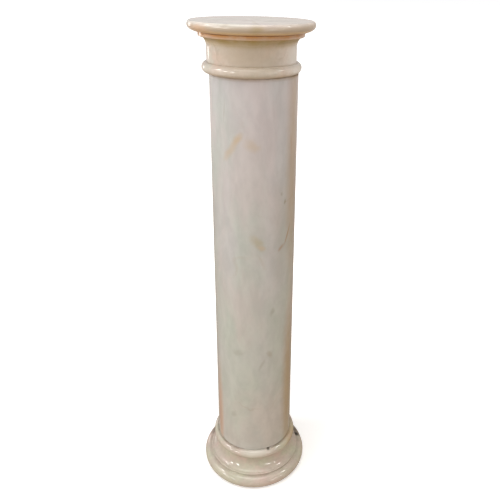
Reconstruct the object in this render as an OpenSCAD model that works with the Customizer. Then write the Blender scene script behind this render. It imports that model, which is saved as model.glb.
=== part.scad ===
// Doric pedestal column in solid marble: a turned base, a tapered plain shaft,
// a capital with a half-round ring, and a round top slab, stacked face to face.
// Millimetres. +Z is up and the origin is the centre of the underside, on the floor.
// Every moulding is set out from the shaft's two diameters, so it follows the shaft.

/* [Shaft] */
// Height of the shaft between the base and the capital
shaft_h = 866; // [400:1:1600]
// Diameter of the shaft where it stands on the base
shaft_bottom_d = 180; // [120:1:300]
// Diameter of the shaft under the capital
shaft_top_d = 166; // [110:1:300]

/* [Base] */
// Height of the bottom torus
torus_h = 32; // [16:0.5:60]
// How far the bottom torus stands out beyond the foot of the shaft
torus_projection = 37; // [34:0.5:80]
// Height of the small lip between the torus and the hollow
lip_h = 5; // [2:0.5:12]
// How far the lip's round edge is sunk into the torus, which makes the groove
lip_sink = 0.5; // [0.25:0.25:1]
// How far the lip stands out beyond the foot of the shaft
lip_projection = 20.5; // [14:0.5:24]
// Height of the hollow above the lip
hollow_h = 37.5; // [16:0.5:80]
// How far the hollow cuts in behind the foot of the shaft
hollow_inset = 1.5; // [0:0.5:6]
// Height of the round bead on top of the base, which stands out by half of it
bead_h = 22; // [8:0.5:40]

/* [Capital] */
// Height of the half-round ring, which stands out by half of it
ring_h = 19; // [8:0.5:30]
// How much thinner the neck is than the top of the shaft, on each side
neck_inset = 0.5; // [0:0.25:6]
// Height of the plain neck above the ring
neck_h = 26.5; // [10:0.5:80]
// Height of the hollow moulding that spreads the neck out to the fillet
cove_h = 16.5; // [8:0.5:40]
// How far the hollow moulding spreads out
cove_projection = 12; // [6:0.5:40]
// Height of the fillet under the top slab
fillet_h = 7; // [5:0.5:20]
// Rounding of the lower edge of the fillet
fillet_round = 2; // [0.5:0.25:4]
// Distance that the capital and top slab sit off the shaft's axis, towards -X
seat_offset = 4; // [0:0.5:6]

/* [Top slab] */
// Thickness of the top slab
slab_t = 19; // [12:0.5:50]
// How far the top slab stands out beyond the fillet
slab_overhang = 18.5; // [12:0.5:40]
// Depth of the slab's widest line below its top
slab_nose_drop = 7.5; // [3:0.5:10]
// Width of the rounding above the slab's widest line
slab_top_round = 4; // [2:0.5:10]
// Width of the long round under the slab's widest line
slab_sweep = 24; // [10:0.5:40]

/* [Damage] */
// Size of the chip knocked out of the base beside the groove
groove_chip_d = 7; // [2:0.5:10]
// Angle of that chip around the column, from +X
groove_chip_angle = 15; // [0:1:359]
// Size of the chip at the foot of the shaft
foot_chip_d = 4; // [1:0.5:6]
// Angle of that chip around the column, from +X
foot_chip_angle = 294; // [0:1:359]

/* [Hidden] */
$fn = 128;
// Flats along each quarter of an oval moulding
CURVE_STEPS = 14;

// Radii, each set out from the piece below or above it
foot_r = shaft_bottom_d / 2;
head_r = shaft_top_d / 2;
torus_r = foot_r + torus_projection - torus_h / 2;
lip_r = foot_r + lip_projection - lip_h / 2;
hollow_r = foot_r - hollow_inset;
neck_r = head_r - neck_inset;
cove_r = neck_r + cove_projection;
fillet_r = cove_r + fillet_round;
slab_r = fillet_r + slab_overhang;

// Heights inside the base and the capital
lip_z = torus_h - lip_sink;
hollow_z = lip_z + lip_h;
bead_z = hollow_z + hollow_h + bead_h / 2;
base_h = hollow_z + hollow_h + bead_h;
cove_z = ring_h + neck_h;
fillet_z = cove_z + cove_h;
capital_h = fillet_z + fillet_h;

// Levels of the joints between the pieces
capital_level = base_h + shaft_h;
slab_level = capital_level + capital_h;

// Points of an oval arc about (x, y), from angle a0 to a1
function arc(x, y, rx, ry, a0, a1) =
    [for (i = [0:CURVE_STEPS])
        let (a = a0 + (a1 - a0) * i / CURVE_STEPS)
        [x + rx * cos(a), y + ry * sin(a)]];

// Ball-shaped bite, d across, out of a round piece's surface at radius r and height z.
// The ball's centre lies a little outside the surface, and its poles to the sides of the bite.
module chip(d, r, z, angle)
    rotate([0, 0, angle]) translate([r + d / 8, 0, z]) rotate([90, 0, 0]) sphere(d = d, $fn = 32);

// Round-edged disc of height h on the axis, whose half-round edge bulges out beyond radius r
module round_edged_disc(h, r, z) {
    translate([0, 0, z]) cylinder(h = h, r = r);
    rotate_extrude() translate([r, z + h / 2]) circle(d = h);
}

// Hollow, which starts upright under the bead and ends level on the lip
module hollow()
    rotate_extrude()
        polygon(concat(
            [[0, lip_z], [0, bead_z], [hollow_r, bead_z]],
            arc(lip_r, hollow_z + hollow_h, lip_r - hollow_r, hollow_h, 180, 270),
            [[lip_r, lip_z]]));

module base()
    color("antiquewhite")
    difference() {
        union() {
            round_edged_disc(torus_h, torus_r, 0);
            round_edged_disc(lip_h, lip_r, lip_z);
            hollow();
            round_edged_disc(bead_h, foot_r, hollow_z + hollow_h);
        }
        chip(groove_chip_d, torus_r, torus_h + groove_chip_d / 8, groove_chip_angle);
    }

module shaft()
    color("gainsboro")
    difference() {
        translate([0, 0, base_h]) cylinder(h = shaft_h, r1 = foot_r, r2 = head_r);
        chip(foot_chip_d, foot_r, base_h + foot_chip_d / 4, foot_chip_angle);
    }

// Neck, hollow moulding and fillet, in one outline above the ring's underside
module neck()
    rotate_extrude()
        polygon(concat(
            [[0, 0], [neck_r, 0]],
            arc(cove_r, cove_z, cove_projection, cove_h, 180, 90),
            arc(cove_r, fillet_z + fillet_round, fillet_round, fillet_round, 270, 360),
            [[fillet_r, capital_h], [0, capital_h]]));

module capital()
    color("wheat")
    translate([-seat_offset, 0, capital_level]) {
        round_edged_disc(ring_h, neck_r, 0);
        neck();
    }

module slab_profile() {
    nose_z = slab_t - slab_nose_drop;
    polygon(concat(
        [[0, 0]],
        arc(slab_r - slab_sweep, nose_z, slab_sweep, nose_z, 270, 360),
        arc(slab_r - slab_top_round, nose_z, slab_top_round, slab_nose_drop, 0, 90),
        [[0, slab_t]]));
}

module top_slab()
    color("linen")
    translate([-seat_offset, 0, slab_level]) rotate_extrude() slab_profile();

base();
shaft();
capital();
top_slab();
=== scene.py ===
# Turned marble pedestal column: base, tapered shaft, ringed capital and round top slab.
import math

import bpy
from mathutils import Matrix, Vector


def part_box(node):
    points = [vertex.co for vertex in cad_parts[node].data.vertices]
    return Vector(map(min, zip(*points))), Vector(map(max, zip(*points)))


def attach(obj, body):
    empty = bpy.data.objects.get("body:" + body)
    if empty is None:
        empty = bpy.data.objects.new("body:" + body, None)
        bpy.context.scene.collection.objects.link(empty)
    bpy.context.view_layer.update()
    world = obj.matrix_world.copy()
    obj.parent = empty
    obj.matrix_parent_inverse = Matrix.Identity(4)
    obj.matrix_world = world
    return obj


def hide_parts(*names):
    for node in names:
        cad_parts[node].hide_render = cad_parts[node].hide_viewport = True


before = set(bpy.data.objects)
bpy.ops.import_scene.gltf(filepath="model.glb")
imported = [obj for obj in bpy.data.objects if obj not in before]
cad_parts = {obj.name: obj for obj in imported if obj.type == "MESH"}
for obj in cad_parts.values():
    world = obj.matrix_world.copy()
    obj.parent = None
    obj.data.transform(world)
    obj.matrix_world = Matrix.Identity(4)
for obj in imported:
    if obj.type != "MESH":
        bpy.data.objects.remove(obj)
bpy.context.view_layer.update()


# ---- Base ----
# A single turned block of warm cream marble: a heavy torus on the floor, a thin lip, a deep
# hollow and a round bead. It was cut on a lathe and polished, and it only rests on the floor.
# Brown painted shade sits under the bead, in the groove and along the joint with the shaft, with
# some dirt in the joint, and a chip is knocked out beside the groove.

base_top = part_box("base")[1].z
torus_height = 0.032
torus_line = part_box("base")[1].x - torus_height / 2
lip_height = 0.005
lip_line = 0.108
lip_middle = torus_height - 0.0005 + lip_height / 2
bead_height = 0.022
bead_line = 0.090
bead_middle = base_top - bead_height / 2
hollow_foot = lip_middle + lip_height / 2
hollow_head = base_top - bead_height
hollow_line = 0.0885
cuts_round = 256
# Angles round the torus and the bead at which they meet the lip and the hollow.
torus_end = 95.5
bead_start = -97.8


def oval(across, up, half_width, half_height, start, end, steps=16):
    """Points of an oval arc about (across, up), with its two ends given in degrees."""
    points = []
    for i in range(steps + 1):
        angle = math.radians(start + (end - start) * i / steps)
        points.append((across + half_width * math.cos(angle), up + half_height * math.sin(angle)))
    return points


def straight(first, last, steps):
    """Points between two ends, without the ends themselves."""
    points = []
    for i in range(1, steps):
        share = i / steps
        points.append(
            (first[0] + (last[0] - first[0]) * share, first[1] + (last[1] - first[1]) * share)
        )
    return points


def feed(tree, socket, value):
    """Links the socket to another one, or sets its plain value."""
    if isinstance(value, bpy.types.NodeSocket):
        tree.links.new(value, socket)
    elif value is not None:
        socket.default_value = value


def new_group(name, kind, takes, gives):
    """A node group with named inputs (name, type, value) and outputs (name, type)."""
    tree = bpy.data.node_groups.new(name, kind)
    for label, sort, value in takes:
        socket = tree.interface.new_socket(label, in_out="INPUT", socket_type=sort)
        if value is not None:
            socket.default_value = value
    for label, sort in gives:
        tree.interface.new_socket(label, in_out="OUTPUT", socket_type=sort)
    start = tree.nodes.new("NodeGroupInput")
    end = tree.nodes.new("NodeGroupOutput")
    return tree, start.outputs, end.inputs


def sums(tree, operation, first, second=0.5, third=0.5):
    """One Math node."""
    node = tree.nodes.new("ShaderNodeMath")
    node.operation = operation
    for socket, value in zip(node.inputs, (first, second, third)):
        feed(tree, socket, value)
    return node.outputs[0]


def arrows(tree, operation, first, second=None):
    """One Vector Math node."""
    node = tree.nodes.new("ShaderNodeVectorMath")
    node.operation = operation
    feed(tree, node.inputs[0], first)
    if second is not None:
        feed(tree, node.inputs["Scale" if operation == "SCALE" else 1], second)
    return node.outputs["Value" if operation == "LENGTH" else "Vector"]


def split(tree, vector):
    """The three parts of a vector."""
    node = tree.nodes.new("ShaderNodeSeparateXYZ")
    feed(tree, node.inputs[0], vector)
    return node.outputs


def join(tree, x, y, z):
    """A vector from its three parts."""
    node = tree.nodes.new("ShaderNodeCombineXYZ")
    for socket, value in zip(node.inputs, (x, y, z)):
        feed(tree, socket, value)
    return node.outputs[0]


def cloudy(tree, vector, scale, detail=3.0, rough=0.5, colour=False):
    """Soft three-way noise, about 0.5 on average."""
    node = tree.nodes.new("ShaderNodeTexNoise")
    feed(tree, node.inputs["Vector"], vector)
    feed(tree, node.inputs["Scale"], scale)
    node.inputs["Detail"].default_value = detail
    node.inputs["Roughness"].default_value = rough
    return node.outputs["Color" if colour else "Fac"]


# A turned stone: the outline in the piece's own mesh is swept round the axis.
turning, given, made = new_group(
    "Turned stone",
    "GeometryNodeTree",
    (
        ("Outline", "NodeSocketGeometry", None),
        ("Cuts Round", "NodeSocketInt", cuts_round),
        ("Axis X", "NodeSocketFloat", 0.0),
        ("Unevenness", "NodeSocketFloat", 0.0002),
        ("Seed", "NodeSocketFloat", 1.0),
        ("Stone", "NodeSocketMaterial", None),
    ),
    (("Mesh", "NodeSocketGeometry"),),
)
turning.is_modifier = True
outline_size = turning.nodes.new("GeometryNodeAttributeDomainSize")
feed(turning, outline_size.inputs["Geometry"], given["Outline"])
columns = sums(turning, "ADD", given["Cuts Round"], 1.0)
sheet = turning.nodes.new("GeometryNodeMeshGrid")
feed(turning, sheet.inputs["Vertices X"], outline_size.outputs["Point Count"])
feed(turning, sheet.inputs["Vertices Y"], columns)
index = turning.nodes.new("GeometryNodeInputIndex").outputs[0]
row = sums(turning, "FLOOR", sums(turning, "DIVIDE", sums(turning, "ADD", index, 0.5), columns))
place = sums(turning, "SUBTRACT", index, sums(turning, "MULTIPLY", row, columns))
turned_by = sums(
    turning, "MULTIPLY", sums(turning, "DIVIDE", place, given["Cuts Round"]), -2 * math.pi
)
outline_point = turning.nodes.new("GeometryNodeSampleIndex")
outline_point.data_type = "FLOAT_VECTOR"
outline_point.domain = "POINT"
feed(turning, outline_point.inputs["Geometry"], given["Outline"])
feed(
    turning,
    outline_point.inputs["Value"],
    turning.nodes.new("GeometryNodeInputPosition").outputs[0],
)
feed(turning, outline_point.inputs["Index"], row)
flat = split(turning, outline_point.outputs["Value"])
reach = flat["X"]
level = flat["Z"]
swell = cloudy(
    turning,
    join(
        turning,
        sums(turning, "MULTIPLY", sums(turning, "COSINE", turned_by), 0.7),
        sums(turning, "MULTIPLY", sums(turning, "SINE", turned_by), 0.7),
        sums(turning, "ADD", sums(turning, "MULTIPLY", level, 7.0), given["Seed"]),
    ),
    1.6,
    2.0,
)
worn = sums(turning, "MULTIPLY", swell, given["Unevenness"])
lean = sums(turning, "MINIMUM", sums(turning, "DIVIDE", reach, 0.05), 1.0)
reach = sums(turning, "SUBTRACT", reach, sums(turning, "MULTIPLY", worn, lean))
moved = turning.nodes.new("GeometryNodeSetPosition")
feed(turning, moved.inputs["Geometry"], sheet.outputs["Mesh"])
feed(
    turning,
    moved.inputs["Position"],
    join(
        turning,
        sums(
            turning,
            "ADD",
            sums(turning, "MULTIPLY", reach, sums(turning, "COSINE", turned_by)),
            given["Axis X"],
        ),
        sums(turning, "MULTIPLY", reach, sums(turning, "SINE", turned_by)),
        level,
    ),
)
closed = turning.nodes.new("GeometryNodeMergeByDistance")
feed(turning, closed.inputs["Geometry"], moved.outputs["Geometry"])
closed.inputs["Distance"].default_value = 0.000002
stone_set = turning.nodes.new("GeometryNodeSetMaterial")
realized = turning.nodes.new("GeometryNodeRealizeInstances")
feed(turning, realized.inputs["Geometry"], closed.outputs["Geometry"])
feed(turning, stone_set.inputs["Geometry"], realized.outputs["Geometry"])
feed(turning, stone_set.inputs["Material"], given["Stone"])
feed(turning, made["Mesh"], stone_set.outputs["Geometry"])

# A bruise: a rough ball knocked out of the stone, which leaves a broken, sharp-edged hollow.
bruising, given, made = new_group(
    "Knocked-out chip",
    "GeometryNodeTree",
    (
        ("Stone", "NodeSocketGeometry", None),
        ("Size", "NodeSocketFloat", 0.006),
        ("Centre", "NodeSocketVector", None),
        ("Seed", "NodeSocketFloat", 1.0),
        ("Finish", "NodeSocketMaterial", None),
    ),
    (("Mesh", "NodeSocketGeometry"),),
)
bruising.is_modifier = True
ball = bruising.nodes.new("GeometryNodeMeshIcoSphere")
ball.inputs["Subdivisions"].default_value = 5
feed(bruising, ball.inputs["Radius"], sums(bruising, "MULTIPLY", given["Size"], 0.5))
here = bruising.nodes.new("GeometryNodeInputPosition").outputs[0]
broken = cloudy(
    bruising,
    arrows(bruising, "ADD", arrows(bruising, "SCALE", here, 420.0), given["Seed"]),
    1.0,
    3.0,
)
shrunk = sums(bruising, "SUBTRACT", 1.0, sums(bruising, "MULTIPLY", broken, 0.45))
rough_ball = bruising.nodes.new("GeometryNodeSetPosition")
feed(bruising, rough_ball.inputs["Geometry"], ball.outputs["Mesh"])
feed(
    bruising,
    rough_ball.inputs["Position"],
    arrows(bruising, "ADD", arrows(bruising, "SCALE", here, shrunk), given["Centre"]),
)
bite = bruising.nodes.new("GeometryNodeMeshBoolean")
bite.operation = "DIFFERENCE"
bite.solver = "EXACT"
feed(bruising, bite.inputs["Mesh 1"], given["Stone"])
feed(bruising, bite.inputs["Mesh 2"], rough_ball.outputs["Geometry"])
finish_set = bruising.nodes.new("GeometryNodeSetMaterial")
chip_real = bruising.nodes.new("GeometryNodeRealizeInstances")
feed(bruising, chip_real.inputs["Geometry"], bite.outputs["Mesh"])
feed(bruising, finish_set.inputs["Geometry"], chip_real.outputs["Geometry"])
feed(bruising, finish_set.inputs["Material"], given["Finish"])
feed(bruising, made["Mesh"], finish_set.outputs["Geometry"])


def set_tool(tool, group, values):
    """Sets a Geometry Nodes modifier's inputs by their sockets' identifiers."""
    for item in group.interface.items_tree:
        if item.item_type == "SOCKET" and item.in_out == "INPUT" and item.name in values:
            tool[item.identifier] = values[item.name]


def turn_stone(name, outline, stone, axis_x=0.0, seed=1.0, unevenness=0.0002, chips=()):
    """Turns one piece from its outline of (radius, height) points and knocks its chips out."""
    sketch = bpy.data.meshes.new(name + "_outline")
    points = [(across, 0.0, up) for across, up in outline]
    sketch.from_pydata(points, [(i, i + 1) for i in range(len(points) - 1)], [])
    blank = bpy.data.objects.new(name + "_outline", sketch)
    bpy.context.scene.collection.objects.link(blank)
    tool = blank.modifiers.new("Turned stone", "NODES")
    tool.node_group = turning
    set_tool(
        tool,
        turning,
        {
            "Cuts Round": cuts_round,
            "Axis X": axis_x,
            "Seed": seed,
            "Unevenness": unevenness,
            "Stone": stone,
        },
    )
    for size, across, up, degrees in chips:
        tool = blank.modifiers.new("Knocked-out chip", "NODES")
        tool.node_group = bruising
        angle = math.radians(degrees)
        set_tool(
            tool,
            bruising,
            {
                "Size": size,
                "Centre": (axis_x + across * math.cos(angle), across * math.sin(angle), up),
                "Seed": seed + degrees,
                "Finish": stone,
            },
        )
    made_now = blank.evaluated_get(bpy.context.evaluated_depsgraph_get())
    mesh = bpy.data.meshes.new_from_object(made_now)
    mesh.name = name
    piece = bpy.data.objects.new(name, mesh)
    bpy.context.scene.collection.objects.link(piece)
    bpy.data.objects.remove(blank)
    mesh.shade_smooth()
    mesh.set_sharp_from_angle(angle=math.radians(32))
    return piece


# Soft clouding of the stone: its ground colour drifts to a cool and to a warm one.
clouding, given, made = new_group(
    "Marble clouding",
    "ShaderNodeTree",
    (
        ("Vector", "NodeSocketVector", None),
        ("Scale", "NodeSocketFloat", 9.0),
        ("Stretch", "NodeSocketFloat", 0.5),
        ("Ground", "NodeSocketColor", (0.6, 0.6, 0.6, 1.0)),
        ("Cool", "NodeSocketColor", (0.5, 0.55, 0.5, 1.0)),
        ("Warm", "NodeSocketColor", (0.7, 0.6, 0.5, 1.0)),
        ("Cool Share", "NodeSocketFloat", 0.5),
        ("Warm Share", "NodeSocketFloat", 0.5),
        ("Seed", "NodeSocketFloat", 0.0),
    ),
    (("Color", "NodeSocketColor"),),
)


def graded(tree, value, low, high, bottom=0.0, top=1.0):
    """A smooth step of the value between two limits."""
    node = tree.nodes.new("ShaderNodeMapRange")
    node.interpolation_type = "SMOOTHSTEP"
    wanted = {"Value": value, "From Min": low, "From Max": high, "To Min": bottom, "To Max": top}
    for label, amount in wanted.items():
        feed(tree, node.inputs[label], amount)
    return node.outputs["Result"]


def tint(tree, share, under, over, way="MIX"):
    """One colour laid over another by a share."""
    node = tree.nodes.new("ShaderNodeMix")
    node.data_type = "RGBA"
    node.blend_type = way
    feed(tree, node.inputs[0], share)
    feed(tree, node.inputs[6], under)
    feed(tree, node.inputs[7], over)
    return node.outputs[2]


def place_group(tree, group, values):
    """A node group placed in a material, with its own values."""
    node = tree.nodes.new("ShaderNodeGroup")
    node.node_tree = group
    for label, value in values.items():
        feed(tree, node.inputs[label], value)
    return node.outputs


drawn = arrows(clouding, "MULTIPLY", given["Vector"], join(clouding, 1.0, 1.0, given["Stretch"]))
drawn = arrows(clouding, "ADD", drawn, given["Seed"])
wander = arrows(clouding, "SUBTRACT", cloudy(clouding, drawn, 6.0, 2.0, 0.5, True), (0.5, 0.5, 0.5))
drawn = arrows(clouding, "ADD", drawn, arrows(clouding, "SCALE", wander, 0.10))
broad = cloudy(clouding, drawn, given["Scale"], 4.0, 0.55)
apart = arrows(clouding, "ADD", drawn, (3.7, 1.9, 5.3))
other = cloudy(clouding, apart, sums(clouding, "MULTIPLY", given["Scale"], 1.4), 4.0, 0.55)
fine = cloudy(clouding, drawn, sums(clouding, "MULTIPLY", given["Scale"], 6.0), 4.0, 0.6)
cool_part = sums(clouding, "MULTIPLY", graded(clouding, broad, 0.42, 0.66), given["Cool Share"])
warm_part = sums(clouding, "MULTIPLY", graded(clouding, other, 0.44, 0.68), given["Warm Share"])
stone_now = tint(clouding, cool_part, given["Ground"], given["Cool"])
stone_now = tint(clouding, warm_part, stone_now, given["Warm"])
shade = graded(clouding, fine, 0.3, 0.7, 0.935, 1.045)
stone_now = tint(clouding, 1.0, stone_now, join(clouding, shade, shade, shade), "MULTIPLY")
feed(clouding, made["Color"], stone_now)

# Thin hair veins, broken up along their length.
veining, given, made = new_group(
    "Hair veins",
    "ShaderNodeTree",
    (
        ("Vector", "NodeSocketVector", None),
        ("Scale", "NodeSocketFloat", 8.0),
        ("Width", "NodeSocketFloat", 0.012),
        ("Share", "NodeSocketFloat", 0.5),
        ("Seed", "NodeSocketFloat", 0.0),
    ),
    (("Mask", "NodeSocketFloat"),),
)
laid = arrows(veining, "ADD", given["Vector"], given["Seed"])
swirl = arrows(veining, "SUBTRACT", cloudy(veining, laid, 14.0, 4.0, 0.6, True), (0.5, 0.5, 0.5))
laid = arrows(veining, "ADD", laid, arrows(veining, "SCALE", swirl, 0.06))
field = cloudy(veining, laid, given["Scale"], 1.5, 0.4)
away = sums(veining, "ABSOLUTE", sums(veining, "SUBTRACT", field, 0.5))
line = graded(veining, away, 0.0, given["Width"], 1.0, 0.0)
gaps = graded(veining, cloudy(veining, laid, 11.0, 3.0), 0.52, 0.66)
feed(
    veining,
    made["Mask"],
    sums(veining, "MULTIPLY", sums(veining, "MULTIPLY", line, gaps), given["Share"]),
)

# Painted shade, with some dirt, held round the piece at one height in its hollows, under
# overhangs and along its joints, patchy along its length.
shade_dirt_group, given, made = new_group(
    "Joint shade and dirt",
    "ShaderNodeTree",
    (
        ("Vector", "NodeSocketVector", None),
        ("Height", "NodeSocketFloat", 0.0),
        ("Below", "NodeSocketFloat", 0.004),
        ("Above", "NodeSocketFloat", 0.004),
        ("Patchiness", "NodeSocketFloat", 0.5),
    ),
    (("Mask", "NodeSocketFloat"),),
)
rise = sums(shade_dirt_group, "SUBTRACT", split(shade_dirt_group, given["Vector"])["Z"], given["Height"])
over = sums(shade_dirt_group, "MAXIMUM", sums(shade_dirt_group, "DIVIDE", rise, given["Above"]), 0.0)
under = sums(
    shade_dirt_group,
    "MAXIMUM",
    sums(shade_dirt_group, "DIVIDE", sums(shade_dirt_group, "MULTIPLY", rise, -1.0), given["Below"]),
    0.0,
)
near = graded(shade_dirt_group, sums(shade_dirt_group, "MAXIMUM", over, under), 0.0, 1.0, 1.0, 0.0)
patch = graded(shade_dirt_group, cloudy(shade_dirt_group, given["Vector"], 34.0, 4.0, 0.6), 0.36, 0.6)
kept = sums(
    shade_dirt_group,
    "SUBTRACT",
    1.0,
    sums(shade_dirt_group, "MULTIPLY", given["Patchiness"], sums(shade_dirt_group, "SUBTRACT", 1.0, patch)),
)
feed(shade_dirt_group, made["Mask"], sums(shade_dirt_group, "MULTIPLY", near, kept))

# One soft-edged mark on a round face, set by its angle round the column and its height.
marking, given, made = new_group(
    "Mark on a round face",
    "ShaderNodeTree",
    (
        ("Vector", "NodeSocketVector", None),
        ("Axis X", "NodeSocketFloat", 0.0),
        ("Radius", "NodeSocketFloat", 0.086),
        ("Angle", "NodeSocketFloat", 0.0),
        ("Height", "NodeSocketFloat", 0.5),
        ("Length", "NodeSocketFloat", 0.02),
        ("Width", "NodeSocketFloat", 0.01),
        ("Tilt", "NodeSocketFloat", 0.0),
        ("Wobble", "NodeSocketFloat", 0.5),
        ("Strength", "NodeSocketFloat", 1.0),
    ),
    (("Mask", "NodeSocketFloat"),),
)
spot = split(marking, given["Vector"])
across = sums(marking, "SUBTRACT", spot["X"], given["Axis X"])
heading = sums(marking, "RADIANS", given["Angle"])
facing_x = sums(marking, "COSINE", heading)
facing_y = sums(marking, "SINE", heading)
along = sums(
    marking,
    "SUBTRACT",
    sums(marking, "MULTIPLY", spot["Y"], facing_x),
    sums(marking, "MULTIPLY", across, facing_y),
)
front = sums(
    marking,
    "ADD",
    sums(marking, "MULTIPLY", across, facing_x),
    sums(marking, "MULTIPLY", spot["Y"], facing_y),
)
along = sums(marking, "MULTIPLY", sums(marking, "ARCTAN2", along, front), given["Radius"])
upward = sums(marking, "SUBTRACT", spot["Z"], given["Height"])
slant = sums(marking, "RADIANS", given["Tilt"])
lengthwise = sums(
    marking,
    "ADD",
    sums(marking, "MULTIPLY", along, sums(marking, "COSINE", slant)),
    sums(marking, "MULTIPLY", upward, sums(marking, "SINE", slant)),
)
crosswise = sums(
    marking,
    "SUBTRACT",
    sums(marking, "MULTIPLY", upward, sums(marking, "COSINE", slant)),
    sums(marking, "MULTIPLY", along, sums(marking, "SINE", slant)),
)
ragged = arrows(
    marking, "SUBTRACT", cloudy(marking, given["Vector"], 75.0, 3.0, 0.55, True), (0.5, 0.5, 0.5)
)
ragged = split(marking, arrows(marking, "SCALE", ragged, given["Wobble"]))
distance = arrows(
    marking,
    "LENGTH",
    join(
        marking,
        sums(marking, "ADD", sums(marking, "DIVIDE", lengthwise, given["Length"]), ragged["X"]),
        sums(marking, "ADD", sums(marking, "DIVIDE", crosswise, given["Width"]), ragged["Y"]),
        0.0,
    ),
)
feed(
    marking,
    made["Mask"],
    sums(marking, "MULTIPLY", graded(marking, distance, 0.15, 1.0, 1.0, 0.0), given["Strength"]),
)

# Polish: how rough the face is, and its fine ripple, crystal grain and pits.
polishing, given, made = new_group(
    "Hand polish",
    "ShaderNodeTree",
    (
        ("Vector", "NodeSocketVector", None),
        ("Roughness", "NodeSocketFloat", 0.14),
        ("Dull", "NodeSocketFloat", 0.0),
        ("Pits", "NodeSocketFloat", 0.5),
    ),
    (("Roughness", "NodeSocketFloat"), ("Height", "NodeSocketFloat")),
)
smear = graded(polishing, cloudy(polishing, given["Vector"], 26.0, 4.0, 0.6), 0.35, 0.7, 0.0, 0.06)
rough_now = sums(polishing, "ADD", given["Roughness"], smear)
rough_now = sums(polishing, "ADD", rough_now, sums(polishing, "MULTIPLY", given["Dull"], 0.45))
feed(polishing, made["Roughness"], rough_now)
ripple = sums(polishing, "MULTIPLY", cloudy(polishing, given["Vector"], 60.0, 2.0), 0.12)
grain = sums(polishing, "MULTIPLY", cloudy(polishing, given["Vector"], 700.0, 2.0), 0.012)
pores = polishing.nodes.new("ShaderNodeTexVoronoi")
feed(polishing, pores.inputs["Vector"], given["Vector"])
pores.inputs["Scale"].default_value = 190.0
pores.inputs["Randomness"].default_value = 1.0
pit_shape = graded(polishing, pores.outputs["Distance"], 0.05, 0.16, -1.0, 0.0)
pit_here = graded(polishing, split(polishing, pores.outputs["Color"])["X"], 0.80, 0.86)
pits = sums(polishing, "MULTIPLY", sums(polishing, "MULTIPLY", pit_shape, pit_here), 0.25)
relief = sums(
    polishing,
    "ADD",
    sums(polishing, "ADD", ripple, grain),
    sums(polishing, "MULTIPLY", pits, given["Pits"]),
)
feed(polishing, made["Height"], relief)


def start_stone(name):
    """A new stone material: its tree and the piece's own coordinates."""
    material = bpy.data.materials.new(name)
    material.use_nodes = True
    tree = material.node_tree
    tree.nodes.clear()
    where = tree.nodes.new("ShaderNodeTexCoord").outputs["Object"]
    return material, tree, where


def finish_stone(tree, colour, roughness, height):
    """The stone's shader: coloured marble under a clear polish, with its fine relief as bump."""
    bump = tree.nodes.new("ShaderNodeBump")
    bump.inputs["Strength"].default_value = 0.35
    bump.inputs["Distance"].default_value = 0.0015
    feed(tree, bump.inputs["Height"], height)
    shader = tree.nodes.new("ShaderNodeBsdfPrincipled")
    feed(tree, shader.inputs["Base Color"], colour)
    feed(tree, shader.inputs["Roughness"], roughness)
    feed(tree, shader.inputs["Normal"], bump.outputs["Normal"])
    shader.inputs["IOR"].default_value = 1.5
    output = tree.nodes.new("ShaderNodeOutputMaterial")
    feed(tree, output.inputs["Surface"], shader.outputs["BSDF"])


def shade_and_dirt_at(tree, where, height, below, above, patchiness):
    """The mask of painted shade and dirt held round a piece at one height."""
    sizes = {"Height": height, "Below": below, "Above": above, "Patchiness": patchiness}
    return place_group(tree, shade_dirt_group, {"Vector": where, **sizes})["Mask"]


def mark_at(
    tree, where, radius, angle, height, length, width, axis_x=0.0, tilt=0.0, wobble=0.5, strength=1.0
):
    """The mask of one mark on a round face: angle and tilt in degrees, sizes in metres."""
    values = {
        "Vector": where,
        "Axis X": axis_x,
        "Radius": radius,
        "Angle": angle,
        "Height": height,
        "Length": length,
        "Width": width,
        "Tilt": tilt,
        "Wobble": wobble,
        "Strength": strength,
    }
    return place_group(tree, marking, values)["Mask"]


base_stone, tree, where = start_stone("base_marble")
stone = place_group(
    tree,
    clouding,
    {
        "Vector": where,
        "Scale": 13.0,
        "Stretch": 1.3,
        "Ground": (0.545, 0.475, 0.405, 1.0),
        "Cool": (0.520, 0.520, 0.395, 1.0),
        "Warm": (0.585, 0.450, 0.395, 1.0),
        "Cool Share": 0.80,
        "Warm Share": 0.80,
        "Seed": 2.0,
    },
)
colour = stone["Color"]
veins = place_group(
    tree, veining, {"Vector": where, "Scale": 12.0, "Width": 0.014, "Share": 0.35, "Seed": 4.0}
)
colour = tint(tree, veins["Mask"], colour, (0.36, 0.27, 0.19, 1.0))
# Brown painted shade in the hollow under the bead.
shade_under_bead = shade_and_dirt_at(tree, where, hollow_head, 0.013, 0.005, 0.5)
colour = tint(tree, sums(tree, "MULTIPLY", shade_under_bead, 0.75), colour, (0.30, 0.215, 0.13, 1.0))
# Painted shade in the groove between the torus and the lip.
shade_in_groove = shade_and_dirt_at(tree, where, torus_height, 0.0022, 0.0018, 0.85)
colour = tint(tree, sums(tree, "MULTIPLY", shade_in_groove, 0.32), colour, (0.27, 0.22, 0.15, 1.0))
# Painted shade of the gap at the shaft's foot, with dirt in the joint.
joint_shade_on_top = shade_and_dirt_at(tree, where, base_top, 0.0016, 0.001, 0.7)
colour = tint(tree, sums(tree, "MULTIPLY", joint_shade_on_top, 0.7), colour, (0.20, 0.155, 0.11, 1.0))
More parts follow.
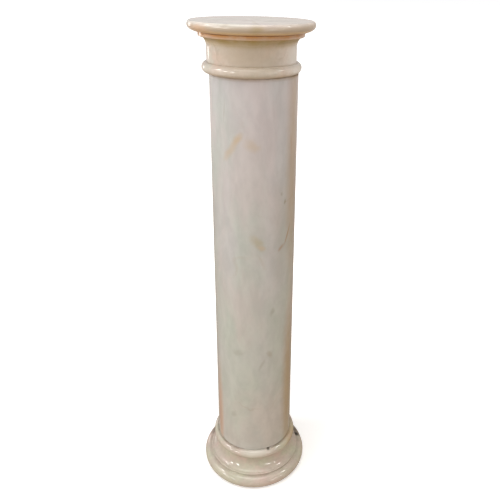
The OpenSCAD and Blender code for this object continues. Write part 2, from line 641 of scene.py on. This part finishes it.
# The front of the bead is rubbed pale, with a small dark bruise against the shaft's foot.
pale_front = mark_at(
    tree, where, radius=bead_line, angle=-84.0, height=bead_middle + 0.006, length=0.050,
    width=0.014, strength=0.75,
)
colour = tint(tree, pale_front, colour, (0.63, 0.61, 0.53, 1.0))
foot_bruise = mark_at(
    tree, where, radius=bead_line, angle=-66.0, height=base_top, length=0.0060, width=0.0026,
    wobble=0.4, strength=0.85,
)
colour = tint(tree, foot_bruise, colour, (0.05, 0.035, 0.025, 1.0))
# The right side of the bead is painted yellower.
yellower_right = mark_at(
    tree, where, radius=bead_line, angle=-14.0, height=bead_middle, length=0.055, width=0.030,
    strength=0.7,
)
colour = tint(tree, yellower_right, colour, (0.50, 0.375, 0.215, 1.0))
# The chip beside the groove, and the black dirt in and around it.
groove_chip_size = 0.007
groove_chip_angle = 15.0
chip_stand_off = 0.0009
chip_dirt = mark_at(
    tree, where, radius=torus_line, angle=groove_chip_angle, height=torus_height, length=0.0105,
    width=0.0065, wobble=0.4,
)
colour = tint(tree, chip_dirt, colour, (0.020, 0.012, 0.008, 1.0))
dull = sums(tree, "MAXIMUM", shade_under_bead, chip_dirt)
# Dark patches on the torus's shoulders towards the back.
for shoulder, heavy in ((25.0, 0.82), (158.0, 0.55)):
    dark_shoulder = mark_at(
        tree, where, radius=torus_line, angle=shoulder, height=torus_height - 0.0015, length=0.027,
        width=0.0065, wobble=0.4, strength=heavy,
    )
    colour = tint(tree, dark_shoulder, colour, (0.075, 0.058, 0.040, 1.0))
    dull = sums(tree, "MAXIMUM", dull, dark_shoulder)
polish = place_group(
    tree, polishing, {"Vector": where, "Roughness": 0.05, "Dull": dull, "Pits": 0.6}
)
finish_stone(tree, colour, polish["Roughness"], polish["Height"])

base_outline = [(0.0, 0.0)]
base_outline += straight((0.0, 0.0), (torus_line, 0.0), 6)
base_outline += oval(
    torus_line, torus_height / 2, torus_height / 2, torus_height / 2, -90, torus_end, 34
)
base_outline += oval(lip_line, lip_middle, lip_height / 2, lip_height / 2, -55, 90, 12)
base_outline += oval(
    lip_line, hollow_head, lip_line - hollow_line, hollow_head - hollow_foot, 270, 180, 28
)[1:-1]
base_outline += oval(bead_line, bead_middle, bead_height / 2, bead_height / 2, bead_start, 90, 26)
base_outline += straight((bead_line, base_top), (0.0, base_top), 5)
base_outline += [(0.0, base_top)]
base = turn_stone(
    "base_turned",
    base_outline,
    base_stone,
    seed=1.0,
    chips=(
        (
            groove_chip_size,
            torus_line + chip_stand_off,
            torus_height + chip_stand_off,
            groove_chip_angle,
        ),
    ),
)
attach(base, "root")
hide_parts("base")


# ---- Shaft ----
# One long drum of cooler, whiter marble that tapers to the capital. It stands loose on the
# base. Its polished face has soft clouding, a few rust-coloured streaks and grey spots, and its
# arrises are eased by hand, with a small bruise at the foot.

shaft_foot = base_top
shaft_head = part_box("shaft")[1].z
foot_radius = 0.090
head_radius = 0.083
arris = 0.0009
marked_radius = 0.086
foot_chip_size = 0.004
foot_chip_angle = 294.0

shaft_stone, tree, where = start_stone("shaft_marble")
stone = place_group(
    tree,
    clouding,
    {
        "Vector": where,
        "Scale": 8.0,
        "Stretch": 0.42,
        "Ground": (0.525, 0.515, 0.525, 1.0),
        "Cool": (0.490, 0.520, 0.490, 1.0),
        "Warm": (0.565, 0.505, 0.510, 1.0),
        "Cool Share": 0.85,
        "Warm Share": 0.70,
        "Seed": 7.0,
    },
)
colour = stone["Color"]
lift = graded(tree, split(tree, where)["Z"], shaft_foot, shaft_head)
colour = tint(
    tree,
    sums(tree, "SUBTRACT", 1.0, lift),
    colour,
    tint(tree, 1.0, colour, (0.97, 0.98, 0.885, 1.0), "MULTIPLY"),
)
veins = place_group(
    tree, veining, {"Vector": where, "Scale": 5.0, "Width": 0.010, "Share": 0.30, "Seed": 9.0}
)
colour = tint(tree, veins["Mask"], colour, (0.42, 0.33, 0.25, 1.0))


def mark_shaft(colour, angle, height, length, width, tilt, shade, strength, wobble=0.6):
    """One mark laid on the shaft's face: angle round it and tilt in degrees, sizes in metres."""
    mark = mark_at(
        tree, where, marked_radius, angle, height, length, width, tilt=tilt, wobble=wobble,
        strength=strength,
    )
    return tint(tree, mark, colour, shade)


rust = (0.53, 0.425, 0.31, 1.0)
grey_green = (0.30, 0.27, 0.20, 1.0)
grey = (0.33, 0.30, 0.25, 1.0)
brick = (0.43, 0.27, 0.18, 1.0)
colour = mark_shaft(colour, -109, 0.855, 0.022, 0.0105, 50, rust, 0.85)
colour = mark_shaft(colour, -119, 0.832, 0.032, 0.0105, 50, rust, 0.62)
colour = mark_shaft(colour, -90, 0.846, 0.023, 0.015, -30, rust, 0.50, 0.9)
colour = mark_shaft(colour, -127, 0.905, 0.028, 0.0016, 86, grey, 0.45, 0.5)
colour = mark_shaft(colour, -48, 0.747, 0.006, 0.004, 80, grey_green, 0.45)
colour = mark_shaft(colour, -42, 0.729, 0.008, 0.0045, 80, grey_green, 0.70)
colour = mark_shaft(colour, -83, 0.653, 0.028, 0.013, -48, (0.44, 0.37, 0.24, 1.0), 0.55, 0.9)
colour = mark_shaft(colour, -77, 0.640, 0.013, 0.007, -20, rust, 0.60, 0.9)
colour = mark_shaft(colour, -36, 0.655, 0.036, 0.0036, 66, brick, 0.85, 0.35)
colour = mark_shaft(colour, -48, 0.633, 0.015, 0.0055, 40, brick, 0.75)
colour = mark_shaft(colour, -31, 0.843, 0.024, 0.0022, -84, brick, 0.50, 0.3)
colour = mark_shaft(colour, -46, 0.66, 0.200, 0.034, 90, (0.37, 0.38, 0.33, 1.0), 0.34, 0.5)
colour = mark_shaft(colour, -61, 0.486, 0.014, 0.008, 70, grey, 0.42, 0.9)
colour = mark_shaft(colour, -111, 0.381, 0.022, 0.012, 20, grey, 0.30, 1.0)
colour = mark_shaft(colour, -64, 0.376, 0.015, 0.008, 110, (0.36, 0.30, 0.22, 1.0), 0.42, 1.0)
colour = mark_shaft(colour, -76, 0.352, 0.022, 0.005, 65, grey, 0.34, 0.8)
colour = mark_shaft(colour, -120, 0.199, 0.015, 0.010, 60, grey, 0.36, 0.9)
# Long soft tan streaks that run up the left and right sides: partly stain, partly painted
# reflection of warm surroundings near the shaft's edges.
colour = mark_shaft(colour, -153, 0.16, 0.220, 0.020, 90, (0.55, 0.34, 0.24, 1.0), 0.76, 0.25)
for level, heavy in ((0.26, 0.80), (0.80, 0.62)):
    colour = mark_shaft(colour, -24, level, 0.340, 0.034, 90, (0.42, 0.30, 0.17, 1.0), heavy, 0.25)
# Painted shade of the gap at the foot, with dirt in the joint.
joint_shade_at_foot = shade_and_dirt_at(tree, where, shaft_foot, 0.001, 0.0022, 0.6)
colour = tint(tree, sums(tree, "MULTIPLY", joint_shade_at_foot, 0.85), colour, (0.10, 0.08, 0.06, 1.0))
# Painted shade on the top of the shaft, under the capital's ring.
shaft_shade_below_ring = shade_and_dirt_at(tree, where, shaft_head, 0.007, 0.001, 0.4)
colour = tint(tree, sums(tree, "MULTIPLY", shaft_shade_below_ring, 0.7), colour, (0.30, 0.20, 0.11, 1.0))
colour = mark_shaft(
    colour, foot_chip_angle - 360, shaft_foot, 0.0085, 0.0035, 0, (0.03, 0.02, 0.015, 1.0), 1.0
)
dull = sums(tree, "MAXIMUM", joint_shade_at_foot, shaft_shade_below_ring)
polish = place_group(
    tree, polishing, {"Vector": where, "Roughness": 0.06, "Dull": dull, "Pits": 0.3}
)
finish_stone(tree, colour, polish["Roughness"], polish["Height"])

shaft_outline = [(0.0, shaft_foot)]
shaft_outline += straight((0.0, shaft_foot), (foot_radius - arris, shaft_foot), 4)
shaft_outline += oval(foot_radius - arris, shaft_foot + arris, arris, arris, -90, 0, 5)
# A ring close to each arris keeps the long face straight right up to it.
near_foot = (foot_radius, shaft_foot + arris + 0.001)
near_head = (head_radius, shaft_head - arris - 0.001)
shaft_outline += [near_foot]
shaft_outline += straight(near_foot, near_head, 60)
shaft_outline += [near_head]
shaft_outline += oval(head_radius - arris, shaft_head - arris, arris, arris, 0, 90, 5)
shaft_outline += straight((head_radius - arris, shaft_head), (0.0, shaft_head), 4)
shaft_outline += [(0.0, shaft_head)]
shaft = turn_stone(
    "shaft_turned",
    shaft_outline,
    shaft_stone,
    seed=5.0,
    unevenness=0.0004,
    chips=((foot_chip_size, foot_radius + 0.0003, shaft_foot + 0.001, foot_chip_angle),),
)
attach(shaft, "root")
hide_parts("shaft")


# ---- Capital ----
# One turned block of tan and cream marble: a half-round ring, a plain neck, a hollow that
# spreads out to a thin fillet. It sits a little to one side of the shaft. Olive-brown painted
# shade darkens the hollow, the fillet under the slab and the ring's underside, with some dirt
# where the pieces meet, and the neck's right side is painted lighter.

capital_foot = shaft_head
capital_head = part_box("capital")[1].z
capital_x = (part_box("capital")[0].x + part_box("capital")[1].x) / 2
ring_height = 0.019
neck_radius = 0.0825
cove_foot = capital_foot + ring_height + 0.0265
cove_height = 0.0165
cove_out = 0.012
fillet_foot = cove_foot + cove_height
fillet_round = 0.002
fillet_radius = neck_radius + cove_out + fillet_round

capital_stone, tree, where = start_stone("capital_marble")
stone = place_group(
    tree,
    clouding,
    {
        "Vector": where,
        "Scale": 17.0,
        "Stretch": 1.1,
        "Ground": (0.640, 0.575, 0.510, 1.0),
        "Cool": (0.590, 0.565, 0.485, 1.0),
        "Warm": (0.670, 0.545, 0.465, 1.0),
        "Cool Share": 0.85,
        "Warm Share": 0.85,
        "Seed": 12.0,
    },
)
colour = stone["Color"]
veins = place_group(
    tree, veining, {"Vector": where, "Scale": 17.0, "Width": 0.018, "Share": 0.35, "Seed": 31.0}
)
colour = tint(tree, veins["Mask"], colour, (0.38, 0.30, 0.21, 1.0))
# The stone is tanner across the front of the neck. Its right side is painted lighter: painted
# light from the upper right.
tan_patch = mark_at(
    tree, where, radius=neck_radius, angle=-92.0, height=cove_foot - 0.008, length=0.085,
    width=0.050, axis_x=capital_x, strength=0.75,
)
colour = tint(tree, tan_patch, colour, (0.51, 0.425, 0.325, 1.0))
neck_painted_light = mark_at(
    tree, where, radius=neck_radius, angle=-22.0, height=cove_foot - 0.018, length=0.055,
    width=0.055, axis_x=capital_x, strength=0.9,
)
colour = tint(tree, neck_painted_light, colour, (0.80, 0.77, 0.73, 1.0))
# Olive-brown painted shade in the hollow under the fillet.
cove_painted_shade = shade_and_dirt_at(tree, where, fillet_foot, 0.019, 0.0020, 0.25)
colour = tint(tree, sums(tree, "MULTIPLY", cove_painted_shade, 0.9), colour, (0.37, 0.26, 0.075, 1.0))
# Orange-brown painted shade on the fillet under the slab's overhang, with some dirt.
fillet_shade_and_dirt = shade_and_dirt_at(tree, where, capital_head, 0.010, 0.001, 0.3)
colour = tint(tree, sums(tree, "MULTIPLY", fillet_shade_and_dirt, 0.95), colour, (0.57, 0.265, 0.065, 1.0))
# Painted shade on the ring's underside, along its joint with the shaft.
shade_under_ring = shade_and_dirt_at(tree, where, capital_foot, 0.001, 0.0065, 0.3)
colour = tint(tree, sums(tree, "MULTIPLY", shade_under_ring, 0.7), colour, (0.36, 0.26, 0.14, 1.0))
# Painted shade in the crease where the ring meets the neck.
crease_shade_over_ring = shade_and_dirt_at(tree, where, capital_foot + ring_height, 0.0012, 0.0030, 0.6)
colour = tint(tree, sums(tree, "MULTIPLY", crease_shade_over_ring, 0.35), colour, (0.36, 0.27, 0.16, 1.0))
dull = sums(tree, "MAXIMUM", cove_painted_shade, shade_under_ring)
polish = place_group(
    tree, polishing, {"Vector": where, "Roughness": 0.06, "Dull": dull, "Pits": 0.4}
)
finish_stone(tree, colour, polish["Roughness"], polish["Height"])

capital_outline = [(0.0, capital_foot)]
capital_outline += straight((0.0, capital_foot), (neck_radius, capital_foot), 5)
capital_outline += oval(
    neck_radius, capital_foot + ring_height / 2, ring_height / 2, ring_height / 2, -90, 90, 26
)
capital_outline += straight((neck_radius, capital_foot + ring_height), (neck_radius, cove_foot), 8)
capital_outline += oval(neck_radius + cove_out, cove_foot, cove_out, cove_height, 180, 90, 18)
capital_outline += oval(
    neck_radius + cove_out, fillet_foot + fillet_round, fillet_round, fillet_round, -90, 0, 8
)
capital_outline += [(fillet_radius, capital_head)]
capital_outline += straight((fillet_radius, capital_head), (0.0, capital_head), 5)
capital_outline += [(0.0, capital_head)]
capital = turn_stone("capital_turned", capital_outline, capital_stone, axis_x=capital_x, seed=8.0)
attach(capital, "root")
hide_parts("capital")


# ---- Top slab ----
# A thin round slab with a long soft underside and a tight round upper edge, turned from a
# paler, cream-edged piece and laid loose on the capital. Its flat top is cool and worn to a
# satin. Its underside is orange-brown, partly stain and partly painted warm light bounced from
# below, with painted shade and dirt along the joint.

slab_foot = capital_head
slab_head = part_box("top_slab")[1].z
slab_radius = (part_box("top_slab")[1].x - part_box("top_slab")[0].x) / 2
nose_level = slab_head - 0.0075
nose_round = 0.004
sweep = 0.024

slab_stone, tree, where = start_stone("slab_marble")
stone = place_group(
    tree,
    clouding,
    {
        "Vector": where,
        "Scale": 10.0,
        "Stretch": 1.0,
        "Ground": (0.680, 0.610, 0.555, 1.0),
        "Cool": (0.650, 0.640, 0.580, 1.0),
        "Warm": (0.710, 0.605, 0.570, 1.0),
        "Cool Share": 0.6,
        "Warm Share": 0.6,
        "Seed": 20.0,
    },
)
colour = stone["Color"]
tall = split(tree, where)["Z"]
# The edge is tan below its upper round. The underside is orange-brown: partly stain, partly
# painted warm light bounced up from the floor.
edge_warm = graded(tree, tall, nose_level, slab_head - 0.001, 1.0, 0.0)
colour = tint(tree, sums(tree, "MULTIPLY", edge_warm, 0.85), colour, (0.47, 0.380, 0.285, 1.0))
underside_stain_and_bounce = graded(tree, tall, slab_foot, nose_level - 0.002, 1.0, 0.0)
colour = tint(tree, sums(tree, "MULTIPLY", underside_stain_and_bounce, 0.75), colour, (0.93, 0.62, 0.245, 1.0))
veins = place_group(
    tree, veining, {"Vector": where, "Scale": 9.0, "Width": 0.016, "Share": 0.35, "Seed": 24.0}
)
colour = tint(tree, veins["Mask"], colour, (0.42, 0.33, 0.20, 1.0))
# One olive patch in front and one peach-coloured one on the left.
olive_patch = mark_at(
    tree, where, radius=slab_radius, angle=-83.0, height=nose_level, length=0.017, width=0.010,
    axis_x=capital_x, tilt=10.0, wobble=0.9, strength=0.55,
)
colour = tint(tree, olive_patch, colour, (0.42, 0.33, 0.17, 1.0))
peach_patch = mark_at(
    tree, where, radius=slab_radius, angle=-140.0, height=nose_level - 0.003, length=0.045,
    width=0.010, axis_x=capital_x, wobble=0.6, strength=0.35,
)
colour = tint(tree, peach_patch, colour, (0.78, 0.45, 0.25, 1.0))
# Painted shade and dirt in the dark orange-brown joint under the slab.
seam_shade_and_dirt = shade_and_dirt_at(tree, where, slab_foot, 0.001, 0.0050, 0.3)
colour = tint(tree, sums(tree, "MULTIPLY", seam_shade_and_dirt, 1.0), colour, (0.29, 0.095, 0.008, 1.0))
polish = place_group(
    tree,
    polishing,
    {"Vector": where, "Roughness": 0.16, "Dull": seam_shade_and_dirt, "Pits": 0.3},
)
finish_stone(tree, colour, polish["Roughness"], polish["Height"])

slab_outline = [(0.0, slab_foot)]
slab_outline += straight((0.0, slab_foot), (slab_radius - sweep, slab_foot), 5)
slab_outline += oval(slab_radius - sweep, nose_level, sweep, nose_level - slab_foot, -90, 0, 26)
slab_outline += oval(
    slab_radius - nose_round, nose_level, nose_round, slab_head - nose_level, 0, 90, 16
)[1:]
slab_outline += straight((slab_radius - nose_round, slab_head), (0.0, slab_head), 10)
slab_outline += [(0.0, slab_head)]
slab = turn_stone("top_slab_turned", slab_outline, slab_stone, axis_x=capital_x, seed=11.0)
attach(slab, "root")
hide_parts("top_slab")


# ---- Studio ----
# A plain pale floor and an even white surround. One soft lamp hangs overhead, one stands on the
# left and one behind on the left. Small lamps on both sides give the short glints on the mouldings.

floor_mesh = bpy.data.meshes.new("floor")
half_floor = 30.0
floor_mesh.from_pydata(
    [
        (-half_floor, -half_floor, 0.0),
        (half_floor, -half_floor, 0.0),
        (half_floor, half_floor, 0.0),
        (-half_floor, half_floor, 0.0),
    ],
    [],
    [(0, 1, 2, 3)],
)
floor = bpy.data.objects.new("floor", floor_mesh)
bpy.context.scene.collection.objects.link(floor)
floor_finish = bpy.data.materials.new("pale_floor")
floor_finish.use_nodes = True
tree = floor_finish.node_tree
tree.nodes.clear()
ray = tree.nodes.new("ShaderNodeLightPath").outputs
lit = tree.nodes.new("ShaderNodeBsdfDiffuse")
feed(
    tree,
    lit.inputs["Color"],
    tint(tree, ray["Is Camera Ray"], (0.70, 0.61, 0.51, 1.0), (0.95, 0.95, 0.95, 1.0)),
)
# The floor's own glow makes it white to look at, and fades near the column to keep its shadow.
where = tree.nodes.new("ShaderNodeTexCoord").outputs["Object"]
from_column = arrows(tree, "LENGTH", where)
glow = tree.nodes.new("ShaderNodeEmission")
glow.inputs["Color"].default_value = (1.0, 1.0, 1.0, 1.0)
feed(
    tree,
    glow.inputs["Strength"],
    sums(tree, "MULTIPLY", ray["Is Camera Ray"], graded(tree, from_column, 0.15, 0.9, 0.36, 1.0)),
)
both = tree.nodes.new("ShaderNodeAddShader")
feed(tree, both.inputs[0], lit.outputs[0])
feed(tree, both.inputs[1], glow.outputs[0])
# In reflections the floor is a flat glow that no lamp lights: a painted reflection of it, darker
# and browner towards the column's foot as painted shade.
floor_painted_reflection = tree.nodes.new("ShaderNodeEmission")
feed(
    tree,
    floor_painted_reflection.inputs["Color"],
    tint(
        tree,
        graded(tree, from_column, 0.9, 4.2),
        (0.34, 0.27, 0.21, 1.0),
        (0.74, 0.68, 0.64, 1.0),
    ),
)
chosen = tree.nodes.new("ShaderNodeMixShader")
feed(tree, chosen.inputs[0], ray["Is Glossy Ray"])
feed(tree, chosen.inputs[1], both.outputs[0])
feed(tree, chosen.inputs[2], floor_painted_reflection.outputs[0])
output = tree.nodes.new("ShaderNodeOutputMaterial")
feed(tree, output.inputs["Surface"], chosen.outputs[0])
floor_mesh.materials.append(floor_finish)

# Soft light from all round, a little warmer from the right, and plain white to look at.
surround = bpy.data.worlds.new("studio")
surround.use_nodes = True
bpy.context.scene.world = surround
tree = surround.node_tree
tree.nodes.clear()
ray = tree.nodes.new("ShaderNodeLightPath").outputs
soft = tree.nodes.new("ShaderNodeBackground")
side = split(tree, tree.nodes.new("ShaderNodeTexCoord").outputs["Generated"])["X"]
feed(
    tree,
    soft.inputs["Color"],
    tint(tree, graded(tree, side, -0.3, 0.9), (1.0, 1.0, 1.0, 1.0), (1.0, 0.86, 0.70, 1.0)),
)
feed(
    tree,
    soft.inputs["Strength"],
    sums(tree, "ADD", 0.40, sums(tree, "MULTIPLY", ray["Is Glossy Ray"], 0.20)),
)
white = tree.nodes.new("ShaderNodeBackground")
white.inputs["Color"].default_value = (1.0, 1.0, 1.0, 1.0)
white.inputs["Strength"].default_value = 1.0
chosen = tree.nodes.new("ShaderNodeMixShader")
feed(tree, chosen.inputs[0], ray["Is Camera Ray"])
feed(tree, chosen.inputs[1], soft.outputs[0])
feed(tree, chosen.inputs[2], white.outputs[0])
output = tree.nodes.new("ShaderNodeOutputWorld")
feed(tree, output.inputs["Surface"], chosen.outputs[0])


def hang_lamp(name, distance, degrees, elevation, width, height, power, shade, aim=0.5):
    """A soft lamp that faces the column's axis at height aim, seen under an angle from +X."""
    lamp = bpy.data.lights.new(name, "AREA")
    lamp.shape = "RECTANGLE"
    lamp.size = width
    lamp.size_y = height
    lamp.energy = power
    lamp.color = shade
    holder = bpy.data.objects.new(name, lamp)
    bpy.context.scene.collection.objects.link(holder)
    spin = math.radians(degrees)
    rise = math.radians(elevation)
    holder.matrix_world = (
        Matrix.Translation((0.0, 0.0, aim))
        @ Matrix.Rotation(spin, 4, "Z")
        @ Matrix.Rotation(-rise, 4, "Y")
        @ Matrix.Translation((distance, 0.0, 0.0))
        @ Matrix.Rotation(math.radians(90), 4, "Y")
        @ Matrix.Rotation(math.radians(90), 4, "Z")
    )
    return holder


lamp_white = (1.0, 0.98, 0.96)
base_aim = 0.1
hang_lamp("soft_left", 3.0, -167, 27, 1.4, 1.0, 13.0, lamp_white)
hang_lamp("soft_above", 3.0, -100, 75, 2.2, 2.2, 43.0, lamp_white)
hang_lamp("window_behind", 7.0, 134, 8, 1.2, 2.0, 20.0, lamp_white, base_aim)
for turn, tall in ((-149, 20), (-131, 16)):
    hang_lamp("glint_left", 7.0, turn, tall, 0.80, 1.50, 66.0, lamp_white, base_aim)
hang_lamp("glint_left", 2.06, -172, 39, 0.25, 0.40, 6.0, lamp_white)
hang_lamp("glint_right", 7.0, -51, 6, 1.80, 0.50, 50.0, lamp_white, base_aim)
hang_lamp("glint_right", 7.0, -33, 12, 0.40, 0.50, 12.0, lamp_white, base_aim)
hang_lamp("glint_right", 2.6, -14, 40, 0.35, 0.35, 8.0, lamp_white)

camera_place = (0.0512, -1.0423, 1.1178)
camera_dip = 27.096
camera_roll = 1.202
lens = bpy.data.cameras.new("studio_camera")
lens.sensor_width = 36.0
lens.lens = 38.97
lens.shift_x = -0.0556
lens.shift_y = 0.0088
camera = bpy.data.objects.new("studio_camera", lens)
camera.matrix_world = (
    Matrix.Translation(camera_place)
    @ Matrix.Rotation(math.radians(90 - camera_dip), 4, "X")
    @ Matrix.Rotation(math.radians(camera_roll), 4, "Z")
)
bpy.context.scene.collection.objects.link(camera)
bpy.context.scene.camera = camera
bpy.context.scene.view_settings.view_transform = "Standard"
